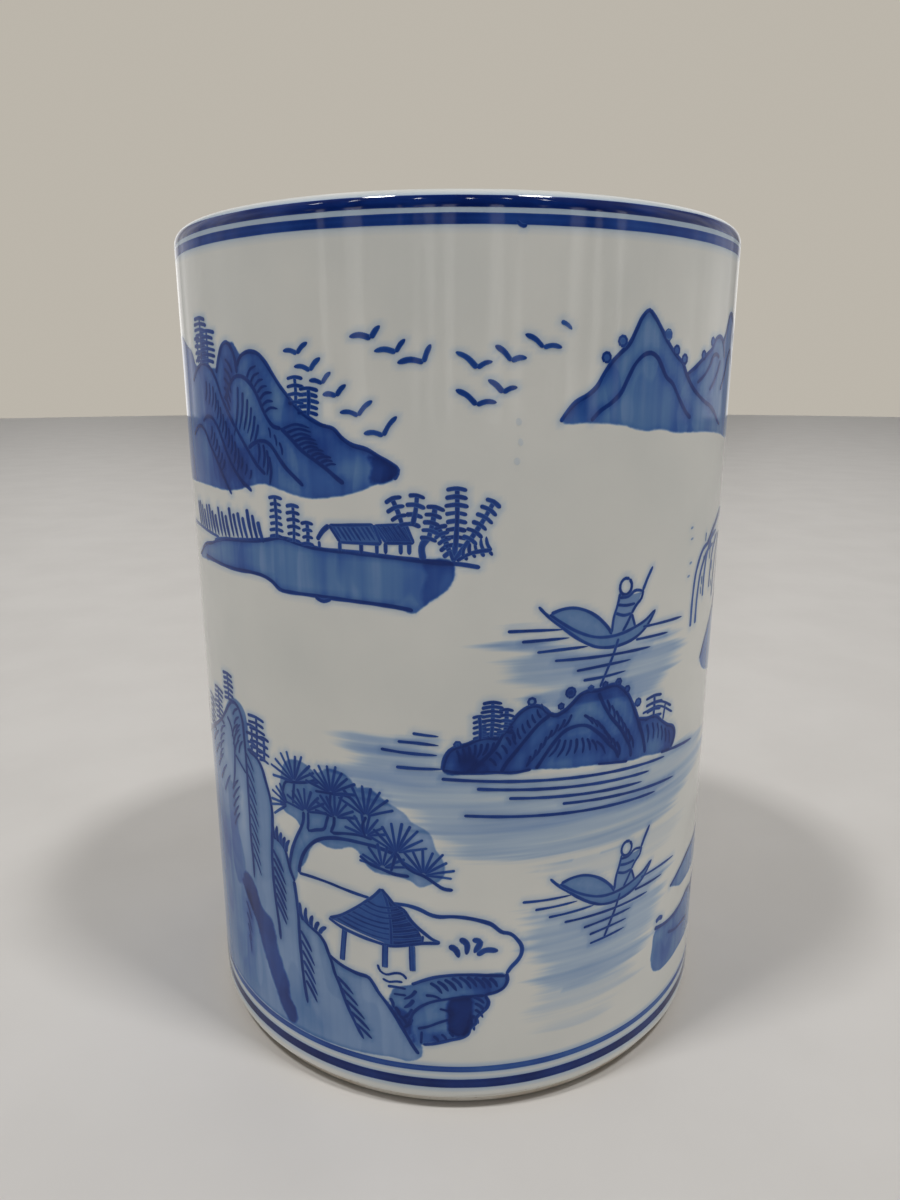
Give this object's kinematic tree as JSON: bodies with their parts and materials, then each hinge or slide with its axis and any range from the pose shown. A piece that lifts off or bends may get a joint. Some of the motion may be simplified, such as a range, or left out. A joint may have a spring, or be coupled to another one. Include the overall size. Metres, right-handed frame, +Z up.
{
  "type": "brush holder pot",
  "caption": "Straight-sided round porcelain pot with a half-round lip, closed floor and bare foot ring, cobalt lines at lip and foot, for standing writing brushes in.",
  "frame": {"origin": "centre of the foot ring, on the surface that the pot stands on", "axes": "+Z up along the pot's axis; -Y is the painted front with the two boats and the pavilion"},
  "size_m": [0.13, 0.13, 0.188],
  "materials": {
    "porcelain": "fired white clay, hidden under the glaze",
    "biscuit": "bare fired clay, matt and slightly toasted",
    "glaze": "clear glossy glaze over white clay, faintly blue-grey",
    "cobalt": "dark underglaze cobalt blue",
    "thin_cobalt": "thinner underglaze cobalt blue"
  },
  "bodies": {
    "root": {"clay_wall": "porcelain", "base_slab": "porcelain", "foot_ring": "biscuit", "slip_fillet": "porcelain", "outer_glaze": "glaze", "inner_glaze": "glaze", "base_glaze": "glaze", "lip_ring": "cobalt", "under_lip_ring": "cobalt", "fine_foot_ring": "thin_cobalt", "broad_foot_ring": "cobalt"}
  },
  "joints": []
}
